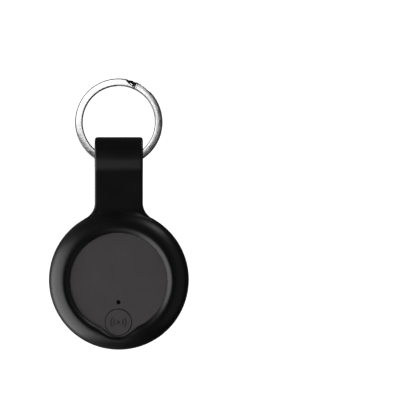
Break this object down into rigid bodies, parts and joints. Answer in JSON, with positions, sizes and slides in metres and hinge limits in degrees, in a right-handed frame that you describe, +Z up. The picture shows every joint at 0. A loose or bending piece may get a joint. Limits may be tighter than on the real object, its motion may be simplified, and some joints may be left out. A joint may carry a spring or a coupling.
{
  "type": "bluetooth tracker tag",
  "caption": "Round bluetooth tracker with a press button, held in a moulded silicone holder whose looped strap hangs from a split key ring.",
  "frame": {"origin": "top of the split ring's hole, midway between its two turns, where a hook or a key carries the tag", "axes": "+Z up, from the tracker to the ring; +Y from the tracker's face, with the button, to its back; +X to the right seen from the front"},
  "size_m": [0.04, 0.0114, 0.0775],
  "materials": {
    "ring_metal": "polished nickel-chrome plated spring steel",
    "holder_silicone": "satin black silicone rubber",
    "shell_plastic": "fine-textured dark grey ABS",
    "cover_plastic": "fine-textured dark grey ABS",
    "seal_rubber": "black nitrile rubber",
    "button_plastic": "fine-textured dark grey ABS with an engraved signal mark",
    "lens_plastic": "smoked clear polycarbonate",
    "switch_plastic": "black moulded nylon",
    "plunger_plastic": "ivory moulded nylon",
    "spring_steel": "plated spring steel",
    "board_laminate": "green solder mask on glass-epoxy laminate",
    "chip_resin": "black moulded epoxy",
    "part_ceramic": "fired ceramic",
    "led_resin": "clear resin",
    "adhesive_tape": "double-sided adhesive tape",
    "buzzer_brass": "rolled brass",
    "cell_steel": "nickel-plated steel",
    "cell_gasket_plastic": "polypropylene",
    "electrode": "pressed electrode"
  },
  "bodies": {
    "ring": {"key_ring": "ring_metal"},
    "tag": {"silicone_holder": "holder_silicone", "front_shell": "shell_plastic", "rear_shell": "shell_plastic", "light_pipe": "lens_plastic", "switch_body": "switch_plastic", "switch_dome": "spring_steel", "circuit_board": "board_laminate", "radio_chip": "chip_resin", "chip_antenna": "part_ceramic", "drive_inductor": "chip_resin", "crystals": "spring_steel", "capacitors": "part_ceramic", "resistors": "chip_resin", "indicator_led": "led_resin", "buzzer_tape": "adhesive_tape", "buzzer_plate": "buzzer_brass", "buzzer_ceramic": "part_ceramic", "buzzer_contacts": "spring_steel", "positive_contact": "spring_steel", "negative_contact": "spring_steel", "cell_can": "cell_steel", "cell_cap": "cell_steel", "cell_gasket": "cell_gasket_plastic", "cell_anode": "electrode", "cell_cathode": "electrode"},
    "button": {"button_cap": "button_plastic"},
    "plunger": {"switch_plunger": "plunger_plastic"},
    "cover": {"battery_cover": "cover_plastic", "cover_seal": "seal_rubber"}
  },
  "joints": [
    {"name": "tag_swing", "type": "hinge", "parent": "ring", "child": "tag", "pos_m": [0, 0, -0.0204], "axis": [1, 0, 0], "range_deg": [-150, 150]},
    {"name": "button_press", "type": "slide", "parent": "tag", "child": "button", "axis": [0, 1, 0], "range_m": [0, 0.0003], "stiffness_N_per_m": 900, "springref_m": -0.0003},
    {"name": "plunger_travel", "type": "slide", "parent": "tag", "child": "plunger", "axis": [0, 1, 0], "range_m": [0, 0.0003]},
    {"name": "cover_twist", "type": "hinge", "parent": "tag", "child": "cover", "pos_m": [0, 0, -0.05533], "axis": [0, 1, 0], "range_deg": [0, 30]}
  ],
  "couplings": [
    {"joint": "plunger_travel", "follows": "button_press", "ratio": 1}
  ]
}
